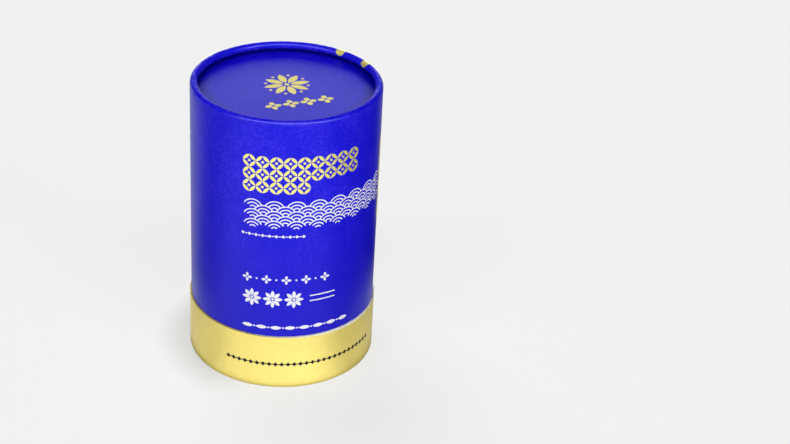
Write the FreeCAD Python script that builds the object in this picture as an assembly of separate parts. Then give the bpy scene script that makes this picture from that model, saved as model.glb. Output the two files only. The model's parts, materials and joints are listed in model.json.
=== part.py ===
import FreeCAD, Part
import os
from math import asin, cos, radians, sin

# A round paper gift box: a tall printed lid that lifts off a neck standing in a short base.
# Sizes are in millimetres. The origin is the middle of the foot and +Z points up the tube.

# The closed box
lid_diameter = 76.0
total_height = 120.4
lid_edge_height = 24.5
seam_gap = 0.3
base_step = 0.6

# Papers and boards
print_paper = 0.2
lining_paper = 0.15
lid_board = 1.2
neck_board = 1.2
lid_disc_board = 2.0
base_disc_board = 2.0

# Curled rim of the lid, rolled in until its end points down: the radius of the open middle of the roll
curl_bore = 0.225

# Foot of the base: how far the bottom disc is set in, and the worn edge of the board
foot_recess = 2.0
foot_board_round = 0.25

# Fits: the lid slides on the neck, and glue holds the disc and the lining inside the lid, and the disc to its rim
slide_clearance = 0.25
glue_line = 0.05

# Radii, from the outside inwards
lid_radius = lid_diameter / 2
lid_tube_radius = lid_radius - print_paper
lid_bore = lid_tube_radius - lid_board
core_radius = lid_bore - glue_line
lid_lining_bore = core_radius - lining_paper
neck_radius = lid_lining_bore - slide_clearance
neck_tube_radius = neck_radius - lining_paper
neck_tube_bore = neck_tube_radius - neck_board
neck_bore = neck_tube_bore - lining_paper
base_radius = lid_radius + base_step
base_tube_radius = base_radius - print_paper

# The curl, seen in section: one circle centre carries the board and the paper
curl_middle = lid_bore - curl_bore
curl_board_radius = curl_bore + lid_board
curl_paper_radius = curl_board_radius + print_paper
curl_height = total_height - curl_paper_radius

# Heights inside the lid, from the top down: printed facing, disc, lining, end of the neck
lid_facing_top = curl_height - curl_paper_radius - glue_line
lid_disc_top = lid_facing_top - print_paper
lid_disc_low = lid_disc_top - lid_disc_board
neck_top = lid_disc_low - lining_paper

# Heights inside the base, from the foot up: printed facing, disc, lining, end of the neck
base_height = lid_edge_height - seam_gap
base_disc_low = foot_recess + print_paper
base_disc_top = base_disc_low + base_disc_board
neck_low = base_disc_top + lining_paper

# The worn edge of the foot, seen in section
foot_round = print_paper + foot_board_round
foot_middle = base_radius - foot_round
foot_paper_angle = asin(foot_board_round / foot_round)

# Angles in a section, counted from straight outwards
outwards = 0
upwards = radians(90)
downwards = radians(270)
full_turn = 360

top_axis = FreeCAD.Vector(0, 0, 1)
origin = FreeCAD.Vector(0, 0, 0)


def at(radius, height):
    return FreeCAD.Vector(radius, 0, height)


def on_arc(centre, radius, angle):
    return centre + at(radius * cos(angle), radius * sin(angle))


def straight(*points):
    return [Part.makeLine(start, end) for start, end in zip(points, points[1:])]


def bow(centre, radius, first, last):
    middle = (first + last) / 2
    ends = [on_arc(centre, radius, angle) for angle in (first, middle, last)]
    return [Part.Arc(*ends).toShape()]


def spin(edges):
    section = Part.Face(Part.Wire(edges))
    return section.revolve(origin, top_axis, full_turn)


def ring(inner, outer, low, high):
    corners = [at(inner, low), at(outer, low), at(outer, high), at(inner, high)]
    return spin(straight(*corners, corners[0]))


def disc(radius, low, high):
    return ring(0, radius, low, high)


# A layer that stands straight and is rolled in at the top, between two radii about the roll's centre
def curled_layer(inner_round, outer_round):
    centre = at(curl_middle, curl_height)
    inner_foot = at(curl_middle + inner_round, lid_edge_height)
    outer_foot = at(curl_middle + outer_round, lid_edge_height)
    edges = straight(inner_foot, outer_foot, on_arc(centre, outer_round, outwards))
    edges += bow(centre, outer_round, outwards, downwards)
    edges += straight(on_arc(centre, outer_round, downwards), on_arc(centre, inner_round, downwards))
    edges += bow(centre, inner_round, downwards, outwards)
    edges += straight(on_arc(centre, inner_round, outwards), inner_foot)
    return spin(edges)


# Lid: wound board with its top edge curled in over a disc, and printed paper over both
def lid_pieces():
    return {
        "lid_tube": curled_layer(curl_bore, curl_board_radius),
        "lid_wrap": curled_layer(curl_board_radius, curl_paper_radius),
        "lid_disc": disc(core_radius, lid_disc_low, lid_disc_top),
        "lid_disc_facing": disc(lid_bore, lid_disc_top, lid_facing_top),
        "lid_disc_lining": disc(core_radius, neck_top, lid_disc_low),
        "lid_lining": ring(lid_lining_bore, core_radius, lid_edge_height, neck_top),
    }


# Base: thick wound board with a worn lower edge that cuts through the gold paper into the board
def base_tube():
    centre = at(foot_middle, foot_round)
    paper_edge = foot_paper_angle - upwards
    edges = straight(at(neck_radius, 0), at(foot_middle, 0))
    edges += bow(centre, foot_round, -upwards, paper_edge)
    edges += straight(
        on_arc(centre, foot_round, paper_edge),
        at(base_tube_radius, base_height),
        at(neck_radius, base_height),
        at(neck_radius, 0),
    )
    return spin(edges)


def base_wrap():
    centre = at(foot_middle, foot_round)
    paper_edge = foot_paper_angle - upwards
    edges = bow(centre, foot_round, paper_edge, outwards)
    edges += straight(
        at(base_radius, foot_round),
        at(base_radius, base_height),
        at(base_tube_radius, base_height),
        on_arc(centre, foot_round, paper_edge),
    )
    return spin(edges)


def base_pieces():
    return {
        "base_tube": base_tube(),
        "base_wrap": base_wrap(),
        "base_disc": disc(neck_radius, base_disc_low, base_disc_top),
        "base_disc_facing": disc(neck_radius, foot_recess, base_disc_low),
        "base_disc_lining": disc(neck_radius, base_disc_top, neck_low),
    }


# Neck: a wound inner tube with paper on both sides, glued into the base and standing on its floor
def neck_pieces():
    return {
        "neck_tube": ring(neck_tube_bore, neck_tube_radius, neck_low, neck_top),
        "neck_wrap": ring(neck_tube_radius, neck_radius, neck_low, neck_top),
        "neck_lining": ring(neck_bore, neck_tube_bore, neck_low, neck_top),
    }


os.makedirs("parts", exist_ok=True)
for pieces in (lid_pieces(), base_pieces(), neck_pieces()):
    for name, shape in pieces.items():
        shape.exportStep(os.path.join("parts", name + ".step"))
        print(name, round(shape.Volume), "mm3", "valid" if shape.isValid() else "not valid")
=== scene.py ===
import json
from math import acos, atan2, ceil, cos, hypot, pi, radians, sin, sqrt

import bpy
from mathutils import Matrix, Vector, noise

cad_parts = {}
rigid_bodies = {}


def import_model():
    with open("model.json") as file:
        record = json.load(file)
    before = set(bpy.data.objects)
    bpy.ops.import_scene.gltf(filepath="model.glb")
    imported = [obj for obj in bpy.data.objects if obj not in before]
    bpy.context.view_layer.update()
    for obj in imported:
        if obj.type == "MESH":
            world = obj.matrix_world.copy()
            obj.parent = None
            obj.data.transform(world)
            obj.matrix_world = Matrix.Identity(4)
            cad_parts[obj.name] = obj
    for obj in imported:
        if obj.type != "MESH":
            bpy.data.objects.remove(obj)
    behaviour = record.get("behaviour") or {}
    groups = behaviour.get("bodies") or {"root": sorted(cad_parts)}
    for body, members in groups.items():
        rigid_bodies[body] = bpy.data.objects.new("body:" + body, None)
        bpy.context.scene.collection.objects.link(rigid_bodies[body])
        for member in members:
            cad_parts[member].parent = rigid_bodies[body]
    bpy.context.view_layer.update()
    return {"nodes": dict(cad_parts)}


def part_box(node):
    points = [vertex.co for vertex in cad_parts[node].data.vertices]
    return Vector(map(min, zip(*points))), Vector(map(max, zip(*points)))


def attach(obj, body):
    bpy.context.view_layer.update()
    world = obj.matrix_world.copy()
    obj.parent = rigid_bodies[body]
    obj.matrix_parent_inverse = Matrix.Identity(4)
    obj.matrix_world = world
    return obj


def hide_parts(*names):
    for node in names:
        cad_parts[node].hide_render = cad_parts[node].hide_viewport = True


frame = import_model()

mm = 0.001

# sizes of the box, read from the frame
lidLow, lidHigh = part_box("lid_wrap")
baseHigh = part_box("base_wrap")[1]
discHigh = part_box("lid_disc_facing")[1]
lidRadius, lidEdge, lidTop = lidHigh.x, lidLow.z, lidHigh.z
baseRadius, baseTop = baseHigh.x, baseHigh.z
discRadius, discTop = discHigh.x, discHigh.z
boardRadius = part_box("base_tube")[1].x
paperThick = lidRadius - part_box("lid_tube")[1].x

# the prints end flush with the solids, the papers lie inkThick under them, and the art reaches into them
inkThick = 0.03 * mm
artThick = 3 * inkThick

# rolled rim: the paper runs up the wall and three quarters of a turn round the roll, onto the disc
curlBore = 0.225 * mm
curlRadius = lidRadius - discRadius + curlBore
curlMiddle = lidRadius - curlRadius
curlHeight = lidTop - curlRadius
wallRun = curlHeight - lidEdge
curlRun = 1.5 * pi * curlRadius

# meshes: which points count as one, how fine the art is cut to follow the wall, and which edges stay sharp
mergeGap = 0.002 * mm
arcCutGap = 0.0001 * mm
stripCutGap = 0.001 * mm
artStrip = 1.6 * mm
sharpAngle = radians(35)


# shader sums: a socket that does arithmetic, and a finish that makes the nodes
class Wire:
    def __init__(self, finish, socket):
        self.finish = finish
        self.socket = socket

    def calc(self, operation, first, second=0.0):
        return self.finish.add("ShaderNodeMath", {"operation": operation}, {0: first, 1: second})

    def __add__(self, other):
        return self.calc("ADD", self, other)

    def __sub__(self, other):
        return self.calc("SUBTRACT", self, other)

    def __rsub__(self, other):
        return self.calc("SUBTRACT", other, self)

    def __mul__(self, other):
        return self.calc("MULTIPLY", self, other)

    def __truediv__(self, other):
        return self.calc("DIVIDE", self, other)

    __radd__ = __add__
    __rmul__ = __mul__


class Nodes:
    def __init__(self, owner):
        owner.use_nodes = True
        self.tree = owner.node_tree

    def add(self, kind, settings, sockets, out=0):
        node = self.tree.nodes.new(kind)
        for name, value in settings.items():
            setattr(node, name, value)
        for name, value in sockets.items():
            self.join(node.inputs[name], value)
        return Wire(self, node.outputs[out])

    def join(self, target, value):
        if isinstance(value, Wire):
            self.tree.links.new(value.socket, target)
        else:
            target.default_value = value

    def ray(self, kind):
        return self.add("ShaderNodeLightPath", {}, {}, "Is %s Ray" % kind)

    def split(self, vector):
        parts = self.add("ShaderNodeSeparateXYZ", {}, {0: vector})
        return [Wire(self, output) for output in parts.socket.node.outputs]

    def ease(self, value, low, high):
        sockets = {"Value": value, "From Min": low, "From Max": high}
        return self.add("ShaderNodeMapRange", {"interpolation_type": "SMOOTHSTEP"}, sockets)


class Finish(Nodes):
    def __init__(self, name, constants):
        self.material = bpy.data.materials.new(name)
        super().__init__(self.material)
        self.shader = self.tree.nodes["Principled BSDF"]
        for socket, value in constants.items():
            self.feed(socket, value)

    def feed(self, socket, value):
        self.join(self.shader.inputs[socket], value)

    def place(self):
        return self.add("ShaderNodeTexCoord", {}, {}, "Object")

    def axes(self):
        return self.split(self.place())

    def grain(self, size, detail=3.0):
        sockets = {"Vector": self.place(), "Scale": 1 / size, "Detail": detail}
        return self.add("ShaderNodeTexNoise", {}, sockets, "Fac")

    def tint(self, share, first, second):
        sockets = {"Factor": share, 6: first, 7: second}
        return self.add("ShaderNodeMix", {"data_type": "RGBA"}, sockets, 2)

    def relief(self, height, depth):
        self.feed("Normal", self.add("ShaderNodeBump", {}, {"Height": height, "Distance": depth}))


def fromAxis(east, north):
    return east.calc("SQRT", east * east + north * north)


# soft matt blue print, a little mottled, darkened by painted shade where its shade mask grows to 1, and
# rougher where worn does
def bluePrint(finish, blue, paintedShade, worn):
    paper = {
        "clouds": 9 * mm, "cloudShare": 0.3, "specks": 0.9 * mm, "speckShare": 0.7, "mottle": (0.43, 0.65),
        "patch": 0.8 * mm, "tooth": 0.35 * mm, "toothDepth": 0.006 * mm,
    }
    mottle = finish.grain(paper["clouds"], detail=2) * paper["cloudShare"]
    mottle = mottle + finish.grain(paper["specks"], detail=2) * paper["speckShare"]
    colour = finish.tint(finish.ease(mottle, *paper["mottle"]), blue["deep"], blue["pale"])
    # painted shade: the blue is mixed towards a darker shade colour by the mask
    finish.feed("Base Color", finish.tint(paintedShade, colour, blue["paintedShade"]))
    patches = finish.grain(paper["patch"]) * blue["patchy"]
    finish.feed("Roughness", patches + worn * blue["worn"] + blue["rough"])
    finish.relief(finish.grain(paper["tooth"]), paper["toothDepth"])
    return finish.material


# on the lid it is painted a little darker towards the foot, a painted shade for the lower wall getting less
# light, is rougher where it is rolled in, and has a thin gloss on both shoulders of the roll
def lidPrint():
    blue = {
        "deep": (0.0004, 0.0001, 0.705, 1), "pale": (0.027, 0.013, 0.8, 1),
        "paintedShade": (0.005, 0.0018, 0.55, 1),
        "rough": 0.26, "patchy": 0.12, "worn": 0.3, "gloss": 1.35, "footShade": (110 * mm, 10 * mm),
        "blotch": 2.4 * mm, "blotchRange": (0.35, 0.65), "blotchLeast": 0.25,
        "coat": 1.62, "coatRough": 0.22, "coatShares": (0.3, 0.65), "coatLoss": 0.4,
    }
    gloss = {"IOR": blue["gloss"], "Coat IOR": blue["coat"], "Coat Roughness": blue["coatRough"]}
    finish = Finish("lidBlue", gloss)
    east, north, up = finish.axes()
    radius = fromAxis(east, north)
    inner = finish.ease(radius, curlMiddle + curlBore, curlMiddle - curlRadius / 2)
    blotch = finish.ease(finish.grain(blue["blotch"], detail=2), *blue["blotchRange"])
    blotch = blotch * (1 - blue["blotchLeast"]) + blue["blotchLeast"]
    rolled = finish.ease(up, curlHeight - curlRadius, curlHeight + curlRadius / 2) * blotch + inner
    off = radius.calc("ABSOLUTE", radius - curlMiddle)
    shoulder = finish.ease(off, *[curlRadius * share for share in blue["coatShares"]])
    shoulder = shoulder * finish.ease(up, curlHeight - curlBore, curlHeight + curlRadius / 3)
    finish.feed("Coat Weight", shoulder * (1 - blotch * blue["coatLoss"]))
    # painted shade: the blue darkens towards the foot, where less light falls
    return bluePrint(finish, blue, finish.ease(up, *blue["footShade"]), rolled)


# on the disc a painted shade darkens it in the corner under the rim
def discPrint():
    blue = {
        "deep": (0.0006, 0.0001, 0.66, 1), "pale": (0.024, 0.0095, 0.76, 1),
        "paintedShade": (0.0003, 0.0003, 0.24, 1),
        "rough": 0.28, "patchy": 0.08, "worn": 0, "gloss": 1.28, "cornerShade": (28.5 * mm, 36 * mm),
    }
    finish = Finish("discBlue", {"IOR": blue["gloss"]})
    east, north, up = finish.axes()
    # painted shade: the mask for the darker blue in the corner under the rim, where shade falls
    cornerShade = finish.ease(fromAxis(east, north), *blue["cornerShade"])
    return bluePrint(finish, blue, cornerShade, cornerShade)


# patchy gloss and a fine tooth, for the gold and the inks
def roughen(finish, look):
    finish.feed("Roughness", finish.grain(look["patch"]) * look["patchy"] + look["rough"])
    finish.relief(finish.grain(look["tooth"]), look["toothDepth"])


# satin metal paper of the base
def goldPrint():
    gold = {
        "deep": (0.9, 0.735, 0.15, 1), "pale": (0.94, 0.77, 0.165, 1), "metal": 0.45, "gloss": 2.2,
        "clouds": 3 * mm, "cloudShare": 0.6, "fibre": 0.25 * mm, "fibreShare": 0.4, "mottle": (0.35, 0.65),
        "rough": 0.36, "patchy": 0.1, "patch": 0.6 * mm, "tooth": 0.3 * mm, "toothDepth": 0.006 * mm,
    }
    finish = Finish("goldPrint", {"Metallic": gold["metal"], "IOR": gold["gloss"]})
    mottle = finish.grain(gold["clouds"], detail=2) * gold["cloudShare"]
    mottle = mottle + finish.grain(gold["fibre"], detail=2) * gold["fibreShare"]
    share = finish.ease(mottle, *gold["mottle"])
    finish.feed("Base Color", finish.tint(share, gold["deep"], gold["pale"]))
    roughen(finish, gold)
    return finish.material


# hot foil, brighter than the paper
def goldFoil():
    foil = {
        "deep": (0.965, 0.85, 0.145, 1), "pale": (0.99, 0.905, 0.185, 1), "metal": 0.35, "gloss": 2.6,
        "clouds": 4 * mm,
        "rough": 0.4, "patchy": 0.12, "patch": 0.5 * mm, "tooth": 0.4 * mm, "toothDepth": 0.005 * mm,
    }
    finish = Finish("goldFoil", {"Metallic": foil["metal"], "IOR": foil["gloss"]})
    finish.feed("Base Color", finish.tint(finish.grain(foil["clouds"]), foil["deep"], foil["pale"]))
    roughen(finish, foil)
    return finish.material


# printed ink, thin in specks
def ink(name, thin, full, roughness):
    look = {
        "gloss": 1.3, "specks": 0.25 * mm, "cover": (0.3, 0.6),
        "rough": roughness, "patchy": 0.15, "patch": 0.6 * mm, "tooth": 0.35 * mm, "toothDepth": 0.005 * mm,
    }
    finish = Finish(name, {"IOR": look["gloss"]})
    cover = finish.ease(finish.grain(look["specks"]), *look["cover"])
    finish.feed("Base Color", finish.tint(cover, thin, full))
    roughen(finish, look)
    return finish.material


# lining paper, wound on a slant so that a fine joint climbs round it
def whitePaper():
    lining = {
        "shade": (0.78, 0.77, 0.74, 1), "light": (0.86, 0.855, 0.83, 1), "rough": 0.7,
        "pitch": 62 * mm, "firstTurn": 2, "joint": 0.004, "jointTone": 0.5, "jointDepth": 0.05 * mm,
        "fibre": 0.5 * mm, "fibreShare": 0.2,
    }
    finish = Finish("whitePaper", {"Roughness": lining["rough"]})
    east, north, up = finish.axes()
    turned = east.calc("ARCTAN2", north, east) / (2 * pi)
    climb = up / lining["pitch"] + turned + lining["firstTurn"]
    joint = finish.ease(climb.calc("FRACT", climb), 0, lining["joint"])
    fibre = finish.grain(lining["fibre"], detail=4)
    tone = fibre * (joint * (1 - lining["jointTone"]) + lining["jointTone"])
    finish.feed("Base Color", finish.tint(tone, lining["shade"], lining["light"]))
    finish.relief(fibre * lining["fibreShare"] + joint, lining["jointDepth"])
    return finish.material


# cut edge of wound board: thin plies one round the other
def cutBoard():
    board = {
        "shade": (0.86, 0.85, 0.815, 1), "light": (0.95, 0.945, 0.925, 1), "rough": 0.85,
        "ply": 0.3 * mm, "plyShare": 0.25, "tone": (0.2, 0.9), "fibre": 0.3 * mm, "fibreDepth": 0.03 * mm,
    }
    finish = Finish("cutBoard", {"Roughness": board["rough"]})
    east, north, up = finish.axes()
    radius = fromAxis(east, north)
    plies = radius.calc("SINE", radius * (2 * pi / board["ply"]))
    fibre = finish.grain(board["fibre"], detail=4)
    tone = finish.ease(plies * board["plyShare"] + fibre, *board["tone"])
    finish.feed("Base Color", finish.tint(tone, board["shade"], board["light"]))
    finish.relief(fibre, board["fibreDepth"])
    return finish.material


def coat(piece, material):
    piece.data.materials.clear()
    piece.data.materials.append(material)


# starting and ending a piece by hand
def deselect():
    bpy.ops.object.select_all(action="DESELECT")


def editing(on):
    bpy.ops.object.mode_set(mode="EDIT" if on else "OBJECT")


def applyModifier(piece, kind, **settings):
    modifier = piece.modifiers.new(kind.title(), kind)
    for name, value in settings.items():
        setattr(modifier, name, value)
    bpy.ops.object.modifier_apply(modifier=modifier.name)


def settle(piece, body, slotName, material, *nodes):
    bpy.ops.object.shade_smooth_by_angle(angle=sharpAngle)
    coat(piece, material)
    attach(piece, body)
    if nodes:
        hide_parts(*nodes)
    print("made", piece.name, len(piece.data.polygons), "faces")


# a shell turned round the middle, ring by ring up its section
def turnShell(name, section, steps):
    deselect()
    radius, height = section[0]
    bpy.ops.mesh.primitive_circle_add(vertices=steps, radius=radius, location=(0, 0, height))
    piece = bpy.context.object
    piece.name = name
    bpy.ops.object.transform_apply(location=True)
    editing(True)
    bpy.ops.mesh.select_all(action="SELECT")
    for nextRadius, nextHeight in section[1:]:
        bpy.ops.mesh.extrude_edges_move(TRANSFORM_OT_translate={"value": (0, 0, nextHeight - height)})
        grow = nextRadius / radius
        bpy.ops.transform.resize(value=(grow, grow, 1), center_override=(0, 0, nextHeight))
        radius, height = nextRadius, nextHeight
    editing(False)
    return piece


def flipAll():
    editing(True)
    bpy.ops.mesh.select_all(action="SELECT")
    bpy.ops.mesh.flip_normals()
    editing(False)


def faceOutwards(piece):
    face = piece.data.polygons[0]
    if face.normal.x * face.center.x + face.normal.y * face.center.y < 0:
        flipAll()


# where the paper of the lid lies, by its run up from the lower edge
def onLid(run, lift):
    turn = max(0, run - wallRun) / curlRadius
    reach = curlRadius + lift
    return curlMiddle + reach * cos(turn), lidEdge + min(run, wallRun) + reach * sin(turn)


# the way round the box, counted from the front
def angleOf(point):
    return atan2(point.x, -point.y)


def spread(low, high, count):
    return [low + (high - low) * i / count for i in range(count + 1)]


def eased(value, low, high):
    share = min(1, max(0, (value - low) / (high - low)))
    return share * share * (3 - 2 * share)


# paper of the lid: a lap joint at the back and fine pleats where it is rolled in
def makeLidPaper(material):
    lid = {
        "steps": 720, "wallRows": 16, "curlRows": 24, "rollEnd": 1.55 * pi,
        "lap": radians(204), "lapWide": radians(13), "lapRise": 0.14 * mm, "lapFade": 6 * mm,
        "sway": 0.03 * mm, "swaysRound": 2, "swayTall": 40 * mm,
        "pleats": 26, "pleatSlant": 1.5, "creases": 60, "pleatDepth": 0.16 * mm, "pleatFull": 0.7 * pi,
    }
    runs = spread(0, wallRun, lid["wallRows"])
    runs += spread(wallRun, wallRun + curlRun, lid["curlRows"])[1:]
    piece = turnShell("lidPaper", [onLid(run, -inkThick) for run in runs], lid["steps"])
    faceOutwards(piece)
    for vertex in piece.data.vertices:
        east, north, height = vertex.co
        angle = angleOf(vertex.co) % (2 * pi)
        out = Vector((sin(angle), -cos(angle), 0))
        turn = atan2(height - curlHeight, hypot(east, north) - curlMiddle) % (2 * pi)
        if turn > lid["rollEnd"]:
            past = (angle - lid["lap"]) / lid["lapWide"]
            rise = lid["lapRise"] * min(1, (curlHeight - height) / lid["lapFade"]) * (1 - past)
            around = (out.x * lid["swaysRound"], out.y * lid["swaysRound"], height / lid["swayTall"])
            sway = noise.noise(around) + 1
            lift = (rise if 0 <= past <= 1 else 0) - lid["sway"] * sway / 2
            vertex.co += out * lift
        else:
            slanted = turn * lid["pleatSlant"]
            crease = noise.noise((out.x * lid["pleats"], out.y * lid["pleats"], slanted)) + 1
            crease += noise.noise((out.x * lid["creases"], out.y * lid["creases"], turn)) / 2
            grown = min(1, turn / lid["pleatFull"]) ** 2
            lift = -lid["pleatDepth"] * max(0, crease) / 2 * grown
            vertex.co += (out * cos(turn) + Vector((0, 0, sin(turn)))) * lift
    applyModifier(piece, "SOLIDIFY", thickness=paperThick - inkThick, offset=-1)
    settle(piece, "lid_shell", "blue_print", material, "lid_wrap")


# paper of the base, drawn round the worn foot, its top edge trimmed a little out of true
def makeGoldPaper(material):
    base = {
        "steps": 480, "rows": 8, "footRound": 0.45 * mm, "footAngle": radians(56.3), "footRows": 6,
        "trim": 0.72 * mm, "lowest": radians(72), "trimRange": (0.1, 0.95),
    }
    middle = baseRadius - base["footRound"]
    reach = base["footRound"] - inkThick
    section = []
    for turn in spread(-base["footAngle"], 0, base["footRows"]):
        section.append((middle + reach * cos(turn), base["footRound"] + reach * sin(turn)))
    for height in spread(base["footRound"], baseTop, base["rows"])[1:]:
        section.append((middle + reach, height))
    piece = turnShell("goldPaper", section, base["steps"])
    faceOutwards(piece)
    for vertex in piece.data.vertices:
        share = max(0, vertex.co.z - base["footRound"]) / (baseTop - base["footRound"])
        low = eased(cos(angleOf(vertex.co) - base["lowest"]), *base["trimRange"])
        vertex.co.z -= share * base["trim"] * low
    applyModifier(piece, "SOLIDIFY", thickness=paperThick - inkThick, offset=-1)
    settle(piece, "base", "gold_print", material, "base_wrap")


# where it was cut longest, the gold paper is turned in over the edge of the board
def makeTurnIn(material):
    fold = {
        "steps": 480, "wide": 1.25 * mm, "thin": 0.03 * mm, "thick": 0.08 * mm,
        "widest": radians(-110), "range": (-0.3, 0.35),
    }
    outer, inner = baseRadius - inkThick, baseRadius - fold["wide"]
    piece = turnShell("goldTurnIn", [(inner, baseTop), (outer, baseTop)], fold["steps"])
    for vertex in piece.data.vertices:
        if hypot(vertex.co.x, vertex.co.y) < (inner + outer) / 2:
            share = eased(cos(angleOf(vertex.co) - fold["widest"]), *fold["range"])
            grow = (outer - fold["thin"] - (outer - fold["thin"] - inner) * share) / inner
            vertex.co = (vertex.co.x * grow, vertex.co.y * grow, baseTop)
    if piece.data.polygons[0].normal.z < 0:
        flipAll()
    applyModifier(piece, "SOLIDIFY", thickness=fold["thick"], offset=1)
    settle(piece, "base", "gold_print", material)


# where the gold paper was cut short, the raw edge of the board swells up to the lid
def makeBoardEdge(material):
    edge = {
        "steps": 480, "wide": 0.5 * mm, "deep": 0.3 * mm, "swell": 0.26 * mm,
        "highest": radians(72), "range": (-0.1, 0.5),
    }
    outer = boardRadius - inkThick
    inner, low = outer - edge["wide"], baseTop - edge["deep"]
    section = [(inner, low), (outer, low), (outer, baseTop), (inner, baseTop), (inner, low)]
    piece = turnShell("boardEdge", section, edge["steps"])
    editing(True)
    bpy.ops.mesh.select_all(action="SELECT")
    bpy.ops.mesh.remove_doubles(threshold=mergeGap)
    bpy.ops.mesh.normals_make_consistent(inside=False)
    editing(False)
    for vertex in piece.data.vertices:
        if vertex.co.z > baseTop - edge["deep"] / 2:
            share = eased(cos(angleOf(vertex.co) - edge["highest"]), *edge["range"])
            vertex.co.z += edge["swell"] * share - inkThick
    settle(piece, "base", "board", material)


# flat artwork: x runs round the box, y up it, and everything is drawn in edit mode
def startArt(name):
    deselect()
    bpy.ops.object.add(type="MESH")
    art = bpy.context.object
    art.name = name
    editing(True)
    return art


def repeatAt(places):
    here = Vector((0, 0))
    for place in places[:-1]:
        step = Vector(place) - here
        bpy.ops.transform.translate(value=(step.x, step.y, 0))
        here = Vector(place)
        bpy.ops.mesh.duplicate()
    step = Vector(places[-1]) - here
    bpy.ops.transform.translate(value=(step.x, step.y, 0))


# a bar with rounded ends
def drawBar(wide, tall, places):
    ends = {"share": 0.499, "segments": 6}
    bpy.ops.mesh.primitive_plane_add(size=1)
    bpy.ops.transform.resize(value=(wide, tall, 1), center_override=(0, 0, 0))
    rounding = min(wide, tall) * ends["share"]
    bpy.ops.mesh.bevel(offset=rounding, segments=ends["segments"], affect="VERTICES")
    repeatAt(places)


def drawDot(size, places, corners=16):
    bpy.ops.mesh.primitive_circle_add(vertices=corners, radius=size / 2, fill_type="NGON")
    repeatAt(places)


# two arcs that meet in points, standing upright, then turned
def drawPetal(wide, tall, turn, places, corners=64):
    bow = (tall * tall + wide * wide) / (4 * wide)
    middle = (wide / 2 - bow, 0, 0)
    bpy.ops.mesh.primitive_circle_add(vertices=corners, radius=bow, fill_type="NGON", location=middle)
    bpy.ops.mesh.bisect(plane_co=(0, 0, 0), plane_no=(1, 0, 0), clear_inner=True, threshold=arcCutGap)
    bpy.ops.mesh.select_linked()
    bpy.ops.mesh.symmetrize(direction="POSITIVE_X", threshold=arcCutGap)
    bpy.ops.transform.rotate(value=-turn, orient_axis="Z", center_override=(0, 0, 0))
    repeatAt(places)


# petals set round a middle, pointing outwards
def drawRosette(petals, wide, inner, outer, middles):
    for i in range(petals):
        turn = 2 * pi * i / petals
        away = Vector((-sin(turn), cos(turn))) * (inner + outer) / 2
        drawPetal(wide, outer - inner, turn, [Vector(middle) + away for middle in middles])


# a ring, cut down to the arc that stands above two slanted lines through its middle
def drawArc(radius, line, slant, places, corners):
    bpy.ops.mesh.primitive_circle_add(vertices=corners, radius=radius)
    bpy.ops.mesh.extrude_edges_move()
    shrink = (radius - line) / radius
    bpy.ops.transform.resize(value=(shrink, shrink, 1), center_override=(0, 0, 0))
    bpy.ops.mesh.select_linked()
    for side in (1, -1):
        cut = (-side * sin(slant), cos(slant), 0)
        bpy.ops.mesh.bisect(plane_co=(0, 0, 0), plane_no=cut, clear_inner=True, threshold=arcCutGap)
        bpy.ops.mesh.select_linked()
    repeatAt(places)


# cut the flat art into strips, so that it can follow the curve, and give it its thickness
def finishArt(art, stripWide, stripTall=None):
    bpy.ops.mesh.select_all(action="SELECT")
    bpy.ops.mesh.remove_doubles(threshold=mergeGap)
    editing(False)
    corners = [vertex.co for vertex in art.data.vertices]
    editing(True)
    for axis, strip in ((0, stripWide), (1, stripTall)):
        if strip:
            low, high = min(c[axis] for c in corners), max(c[axis] for c in corners)
            for at in spread(low, high, ceil((high - low) / strip))[1:-1]:
                bpy.ops.mesh.select_all(action="SELECT")
                normal = Vector((0, 0, 0))
                normal[axis] = 1
                bpy.ops.mesh.bisect(plane_co=normal * at, plane_no=normal, threshold=stripCutGap)
    bpy.ops.mesh.select_all(action="SELECT")
    bpy.ops.mesh.normals_make_consistent(inside=False)
    editing(False)
    for face in art.data.polygons:
        if face.normal.z < 0:
            face.flip()
    applyModifier(art, "SOLIDIFY", thickness=artThick, offset=-1)


def layOnLid(art):
    for vertex in art.data.vertices:
        radius, height = onLid(vertex.co.y - lidEdge, vertex.co.z)
        angle = vertex.co.x / lidRadius
        vertex.co = (radius * sin(angle), -radius * cos(angle), height)


def layOnBase(art):
    for vertex in art.data.vertices:
        radius = baseRadius + vertex.co.z
        angle = vertex.co.x / lidRadius
        vertex.co = (radius * sin(angle), -radius * cos(angle), vertex.co.y)


def arcAt(degree):
    return lidRadius * radians(degree)


def rowOf(first, last, count, height):
    return [(east, height) for east in spread(first, last, count - 1)]


# places halfway between those of a row
def midway(first, last, count, height):
    half = (last - first) / (count - 1) / 2
    return rowOf(first + half, last - half, count - 1, height)


# gold lattice on the front, of petals that close into rings
def makeLattice(material):
    lattice = {
        "left": arcAt(-25), "top": 105.5 * mm, "cell": 5.35 * mm, "rows": (9, 9, 5),
        "petalWide": 1.3 * mm, "petalShare": 0.94, "dot": 1.1 * mm,
    }
    cell = lattice["cell"]
    middles = []
    for row, count in enumerate(lattice["rows"]):
        for column in range(count):
            east = lattice["left"] + (column + 0.5) * cell
            middles.append(Vector((east, lattice["top"] - (row + 0.5) * cell)))
    art = startArt("goldLattice")
    petalLong = cell / sqrt(2) * lattice["petalShare"]
    for quarter in range(4):
        turn = radians(45 + 90 * quarter)
        away = Vector((cos(turn), sin(turn))) * cell / sqrt(8)
        drawPetal(lattice["petalWide"], petalLong, turn, [middle + away for middle in middles])
    drawDot(lattice["dot"], middles)
    finishArt(art, artStrip)
    layOnLid(art)
    settle(art, "lid_shell", "gold_print", material)


# rows of overlapping scallops: each arc stops where the row in front of it, half a radius lower, hides it
def drawScallops(radius, line, shares, middles, corners):
    for share in shares:
        hidden = acos((share * share + 0.25) / (share * sqrt(5))) - atan2(1, 2)
        drawArc(share * radius, line, hidden, middles, corners)


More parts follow.
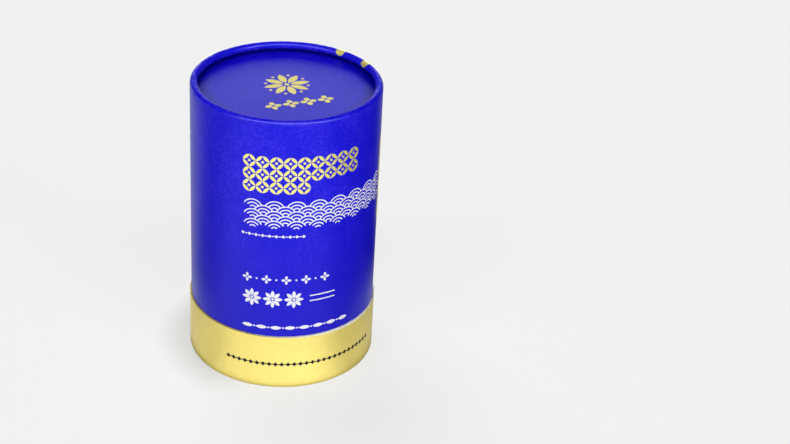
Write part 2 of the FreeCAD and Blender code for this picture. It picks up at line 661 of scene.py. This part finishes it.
# band of white scallop waves, from the front round to the side
def makeWhiteWaves(material):
    waves = {
        "left": arcAt(-25), "right": arcAt(78.8), "low": 73.6 * mm, "columns": 8, "rows": 5,
        "line": 0.5 * mm, "arcShares": (1, 0.68, 0.36), "corners": 40,
    }
    radius = (waves["right"] - waves["left"]) / waves["columns"] / 2
    middles = []
    for row in range(waves["rows"]):
        for column in range(waves["columns"] - row % 2):
            east = waves["left"] + (2 * column + 1 + row % 2) * radius
            middles.append((east, waves["low"] + row * radius / 2))
    art = startArt("whiteWaves")
    drawScallops(radius, waves["line"], waves["arcShares"], middles, waves["corners"])
    finishArt(art, artStrip)
    layOnLid(art)
    settle(art, "lid_shell", "white_paper", material)


# small white ornaments down the front: each row has its first and last place, its count and its height
def makeWhiteRows(material):
    left = arcAt(-24.5)
    rows = {
        "chain": (left, arcAt(12), 10, 70.8 * mm), "diamond": 1.5 * mm,
        "link": 1.1 * mm, "linkLine": 0.4 * mm,
        "stars": (left + 2 * mm, arcAt(26), 5, 51 * mm), "starPetals": 4, "starWide": 1.1 * mm,
        "starInner": 0.25 * mm, "starOuter": 2 * mm,
        "flowers": (left + 4 * mm, arcAt(7), 3, 42 * mm), "flowerPetals": 8, "flowerWide": 1.5 * mm,
        "flowerInner": 0.75 * mm, "flowerOuter": 3.95 * mm, "flowerDot": 1.1 * mm,
        "bars": [(arcAt(25), 43.2 * mm), (arcAt(25), 40.8 * mm)], "barLong": 11 * mm, "barLine": 0.5 * mm,
        "leaves": (left + 2.3 * mm, arcAt(40), 8, 28.6 * mm), "leafWide": 1.7 * mm, "leafLong": 4.6 * mm,
        "dot": 0.8 * mm,
    }
    art = startArt("whiteRows")
    drawDot(rows["diamond"], rowOf(*rows["chain"]), corners=4)
    drawBar(rows["link"], rows["linkLine"], midway(*rows["chain"]))
    stars, flowers = rowOf(*rows["stars"]), rowOf(*rows["flowers"])
    drawRosette(rows["starPetals"], rows["starWide"], rows["starInner"], rows["starOuter"], stars)
    drawDot(rows["dot"], midway(*rows["stars"]))
    drawRosette(rows["flowerPetals"], rows["flowerWide"], rows["flowerInner"], rows["flowerOuter"], flowers)
    drawDot(rows["flowerDot"], flowers)
    drawBar(rows["barLong"], rows["barLine"], rows["bars"])
    drawPetal(rows["leafWide"], rows["leafLong"], pi / 2, rowOf(*rows["leaves"]))
    drawDot(rows["dot"], midway(*rows["leaves"]))
    finishArt(art, artStrip)
    layOnLid(art)
    settle(art, "lid_shell", "white_paper", material)


# large gold scallop hills, low on the right side and the back
def makeGoldWaves(material):
    hills = {
        "middle": arcAt(147), "radius": 19.4 * mm, "low": 28 * mm, "line": 3.6 * mm,
        "arcShares": (1, 0.63, 0.26), "corners": 96,
    }
    middle, radius, low = hills["middle"], hills["radius"], hills["low"]
    places = [(middle - radius, low), (middle + radius, low), (middle, low + radius / 2)]
    art = startArt("goldWaves")
    drawScallops(radius, hills["line"], hills["arcShares"], places, hills["corners"])
    finishArt(art, artStrip)
    layOnLid(art)
    settle(art, "lid_shell", "gold_print", material)


# upright gold bars above the hills, two of which run over the rim: each has its angle, its foot and its top
def makeGoldRain(material):
    rain = {"wide": 4.2 * mm, "overRim": radians(190), "strip": 1.4 * mm, "rimStrip": 0.4 * mm}
    rimEnd = lidEdge + wallRun + rain["overRim"] * curlRadius
    bars = [
        (82.5, 62 * mm, 100 * mm), (95, 52 * mm, 84 * mm), (107, 66 * mm, 104 * mm),
        (119.5, 72 * mm, rimEnd), (131, 64 * mm, 96 * mm), (143, 74 * mm, rimEnd),
        (156, 66 * mm, 92 * mm), (170, 74 * mm, 106 * mm), (184, 56 * mm, 84 * mm),
    ]
    art = startArt("goldRain")
    for degree, low, high in bars:
        drawBar(rain["wide"], high - low, [(arcAt(degree), (low + high) / 2)])
    finishArt(art, rain["strip"], rain["rimStrip"])
    layOnLid(art)
    settle(art, "lid_shell", "gold_print", material)


# blank ruled panel at the back on the left, its first rules longer
def makeRuledPanel(material):
    panel = {
        "left": arcAt(-149), "right": arcAt(-89), "longRight": arcAt(-79), "longRules": 2,
        "low": 36 * mm, "high": 99 * mm, "rules": 15, "line": 0.4 * mm,
    }
    art = startArt("whiteRules")
    for i, height in enumerate(spread(panel["high"], panel["low"], panel["rules"] - 1)):
        right = panel["longRight"] if i < panel["longRules"] else panel["right"]
        drawBar(right - panel["left"], panel["line"], [((right + panel["left"]) / 2, height)])
    finishArt(art, artStrip)
    layOnLid(art)
    settle(art, "lid_shell", "white_paper", material)


# dark border on the gold base
def makeDarkBorder(material):
    border = {"row": (arcAt(-33.5), arcAt(65), 27, 11.3 * mm), "diamond": 2.1 * mm, "dot": 0.6 * mm}
    art = startArt("darkBorder")
    drawDot(border["diamond"], rowOf(*border["row"]), corners=4)
    drawDot(border["dot"], midway(*border["row"]), corners=8)
    finishArt(art, artStrip)
    layOnBase(art)
    settle(art, "base", "gold_print", material)


# gold rosette and a row of stars under it on the sunk disc, turned a little
def makeDiscArt(material):
    disc = {
        "turn": radians(20), "middle": (0.7 * mm, 1.9 * mm), "petals": 8, "petalWide": 3.1 * mm,
        "petalInner": 1.6 * mm, "petalOuter": 9.4 * mm,
        "heart": 2 * mm, "bead": 1.3 * mm, "beadsAt": 8.4 * mm,
        "stars": 4, "starPetals": 4, "starWide": 2.2 * mm, "starInner": 0.5 * mm, "starOuter": 3.3 * mm,
        "rowHeight": -14.9 * mm, "rowWide": 28 * mm,
    }
    middle = Vector(disc["middle"])
    art = startArt("discRosette")
    drawRosette(disc["petals"], disc["petalWide"], disc["petalInner"], disc["petalOuter"], [middle])
    drawDot(disc["heart"], [middle])
    half = pi / disc["petals"]
    between = spread(half, 2 * pi - half, disc["petals"] - 1)
    drawDot(disc["bead"], [middle + Vector((sin(a), cos(a))) * disc["beadsAt"] for a in between])
    end = disc["rowWide"] / 2 - disc["starOuter"]
    row = rowOf(-end, end, disc["stars"], disc["rowHeight"])
    drawRosette(disc["starPetals"], disc["starWide"], disc["starInner"], disc["starOuter"], row)
    bpy.ops.mesh.select_all(action="SELECT")
    bpy.ops.transform.rotate(value=-disc["turn"], orient_axis="Z", center_override=(0, 0, 0))
    finishArt(art, None)
    for vertex in art.data.vertices:
        vertex.co.z += discTop + inkThick
    settle(art, "lid_shell", "gold_print", material)


# pale floor: the camera sees it nearly even, with a painted shadow on the left of the foot,
# and mirrors see it brightest in front, and duller round the sides and behind
def dressFloor():
    ground = {
        "size": 12, "colour": (0.73, 0.73, 0.73, 1), "rough": 0.9, "gloss": 0.1,
        "pale": 1.06, "paleShare": 0.66,
        "shade": 0.29, "shadeReach": (56 * mm, 37.5 * mm), "shadeSide": (-0.25, -0.85),
    }
    glow = {
        "left": 0.17, "far": 0.5, "front": 1.05, "foot": 0.6, "turn": radians(8), "sides": (-0.6, 0.6),
        "near": (100 * mm, 60 * mm), "ahead": (-0.25, -0.8), "aheadNear": (-0.2, -0.15),
        "behind": (0.1, 0.65), "leftEdge": (-0.8, -0.95), "backEdge": (0.6, 0.95),
        "clear": (-0.6 * mm, 3.4 * mm),
    }
    deselect()
    bpy.ops.mesh.primitive_plane_add(size=ground["size"], location=(0, 0, -inkThick))
    floor = bpy.context.object
    floor.name = "floor"
    matt = {"Roughness": ground["rough"], "Base Color": ground["colour"]}
    finish = Finish("floorPaper", matt)
    finish.feed("Specular IOR Level", ground["gloss"])
    camera, mirror = finish.ray("Camera"), finish.ray("Glossy") + finish.ray("Transmission")
    east, north, up = finish.axes()
    away = fromAxis(east, north)
    side = finish.ease(east / away, *glow["sides"])
    facing = (east * sin(glow["turn"]) + north * cos(glow["turn"])) / away
    near = finish.ease(away, *glow["near"])
    start, full = [near * narrow + wide for narrow, wide in zip(glow["aheadNear"], glow["ahead"])]
    ahead = finish.ease(facing, start, full)
    behind = finish.ease(north / away, *glow["behind"])
    left = (behind * glow["far"] + glow["left"]) * (1 - side)
    left = left + near * finish.ease(east / away, *glow["leftEdge"]) * glow["foot"]
    right = (near * glow["foot"] + finish.ease(north / away, *glow["backEdge"]) * glow["far"]) * side
    shine = left + right + ahead * glow["front"]
    shine = shine * finish.ease(away, *[baseRadius + gap for gap in glow["clear"]])
    # painted shadow: the camera's even floor is darkened near the foot on the left
    shade = finish.ease(away, *ground["shadeReach"]) * finish.ease(east / away, *ground["shadeSide"])
    seen = camera * ground["pale"] * (1 - shade * ground["shade"]) + mirror * shine
    plain = finish.add("ShaderNodeEmission", {}, {"Color": seen})
    lit = Wire(finish, finish.shader.outputs[0])
    share = camera * ground["paleShare"] + mirror
    mixed = finish.add("ShaderNodeMixShader", {}, {0: share, 1: lit, 2: plain})
    finish.join(finish.tree.nodes["Material Output"].inputs["Surface"], mixed)
    coat(floor, finish.material)
    print("laid the floor")


# backdrop: an even pale grey for the camera, and for mirrors a low bright wall behind the box
def dressWorld():
    backdrop = {"pale": 0.871, "wall": 6.7, "wide": (0.1, 0.02), "behind": (0, 0.5), "high": (0.4, 0.15)}
    world = bpy.data.worlds.new("studio")
    bpy.context.scene.world = world
    nodes = Nodes(world)
    camera, mirror = nodes.ray("Camera"), nodes.ray("Glossy") + nodes.ray("Transmission")
    east, north, up = nodes.split(nodes.add("ShaderNodeTexCoord", {}, {}, "Generated"))
    wall = nodes.ease(east * east, *backdrop["wide"]) * nodes.ease(north, *backdrop["behind"])
    wall = wall * nodes.ease(up, *backdrop["high"]) * backdrop["wall"]
    nodes.join(nodes.tree.nodes["Background"].inputs["Color"], camera * backdrop["pale"] + mirror * wall)
    print("set the backdrop")


# a lamp aimed at the middle of the box: mirrors don't see it, unless it is mirrored, and then only they do
def hangLamp(name, place, wide, deep, power, mirrored=False):
    bpy.ops.object.light_add(type="AREA", location=place)
    lamp = bpy.context.object
    lamp.name = name
    lamp.data.shape = "RECTANGLE"
    lamp.data.size = wide
    lamp.data.size_y = deep
    lamp.data.energy = power
    lamp.visible_glossy = mirrored
    lamp.visible_diffuse = not mirrored
    middle = Vector((0, 0, 60 * mm))
    lamp.rotation_euler = (middle - Vector(place)).to_track_quat("-Z", "Y").to_euler()


def setCamera():
    shot = {"place": (0, -0.59268, 0.39663), "turn": (60.203, -3.005, -2.698), "lens": 75.554, "sensor": 36}
    bpy.ops.object.camera_add(location=shot["place"], rotation=[radians(a) for a in shot["turn"]])
    camera = bpy.context.object
    camera.data.lens = shot["lens"]
    camera.data.sensor_width = shot["sensor"]
    bpy.context.scene.camera = camera
    print("set the camera")


board, lining, gold, foil = cutBoard(), whitePaper(), goldPrint(), goldFoil()
blue, sunkBlue = lidPrint(), discPrint()
whiteInk = ink("whiteInk", thin=(0.82, 0.82, 0.86, 1), full=(0.89, 0.89, 0.91, 1), roughness=0.4)
darkInk = ink("darkInk", thin=(0.03, 0.027, 0.02, 1), full=(0.012, 0.011, 0.01, 1), roughness=0.45)
wears = {
    "lid_tube": board, "lid_disc": board, "base_tube": board, "base_disc": board, "neck_tube": board,
    "lid_lining": lining, "lid_disc_lining": lining, "base_disc_lining": lining,
    "neck_wrap": lining, "neck_lining": lining,
    "lid_disc_facing": sunkBlue, "base_disc_facing": gold,
}
for nodeName, material in wears.items():
    coat(frame["nodes"][nodeName], material)
print("coated", len(wears), "solids")

makeLidPaper(blue)
makeGoldPaper(gold)
makeTurnIn(gold)
makeBoardEdge(board)
makeLattice(foil)
makeWhiteWaves(whiteInk)
makeWhiteRows(whiteInk)
makeGoldWaves(foil)
makeGoldRain(foil)
makeRuledPanel(whiteInk)
makeDarkBorder(darkInk)
makeDiscArt(foil)
dressFloor()
dressWorld()
lamps = {
    "front": {"place": (0.75, -7.4, 0.8), "wide": 3, "deep": 1.4, "power": 245},
    "rear": {"place": (-0.75, 7.4, 0.8), "wide": 3, "deep": 1.4, "power": 250},
    "left": {"place": (-5.5, -5, 3), "wide": 3, "deep": 3, "power": 88},
    "right": {"place": (5.5, -5, 3), "wide": 3, "deep": 3, "power": 126},
    "back": {"place": (-2.5, 4, 8.5), "wide": 4.5, "deep": 4.5, "power": 345},
    "overhead": {"place": (0, -3.9, 6.4), "wide": 9, "deep": 0.9, "power": 172},
    "strip": {"place": (0, -5.5, 5.1), "wide": 22, "deep": 2.4, "power": 760, "mirrored": True},
}
for lampName, lampSettings in lamps.items():
    hangLamp(lampName, **lampSettings)
print("hung", len(lamps), "lamps")
setCamera()
bpy.context.scene.view_settings.view_transform = "Standard"
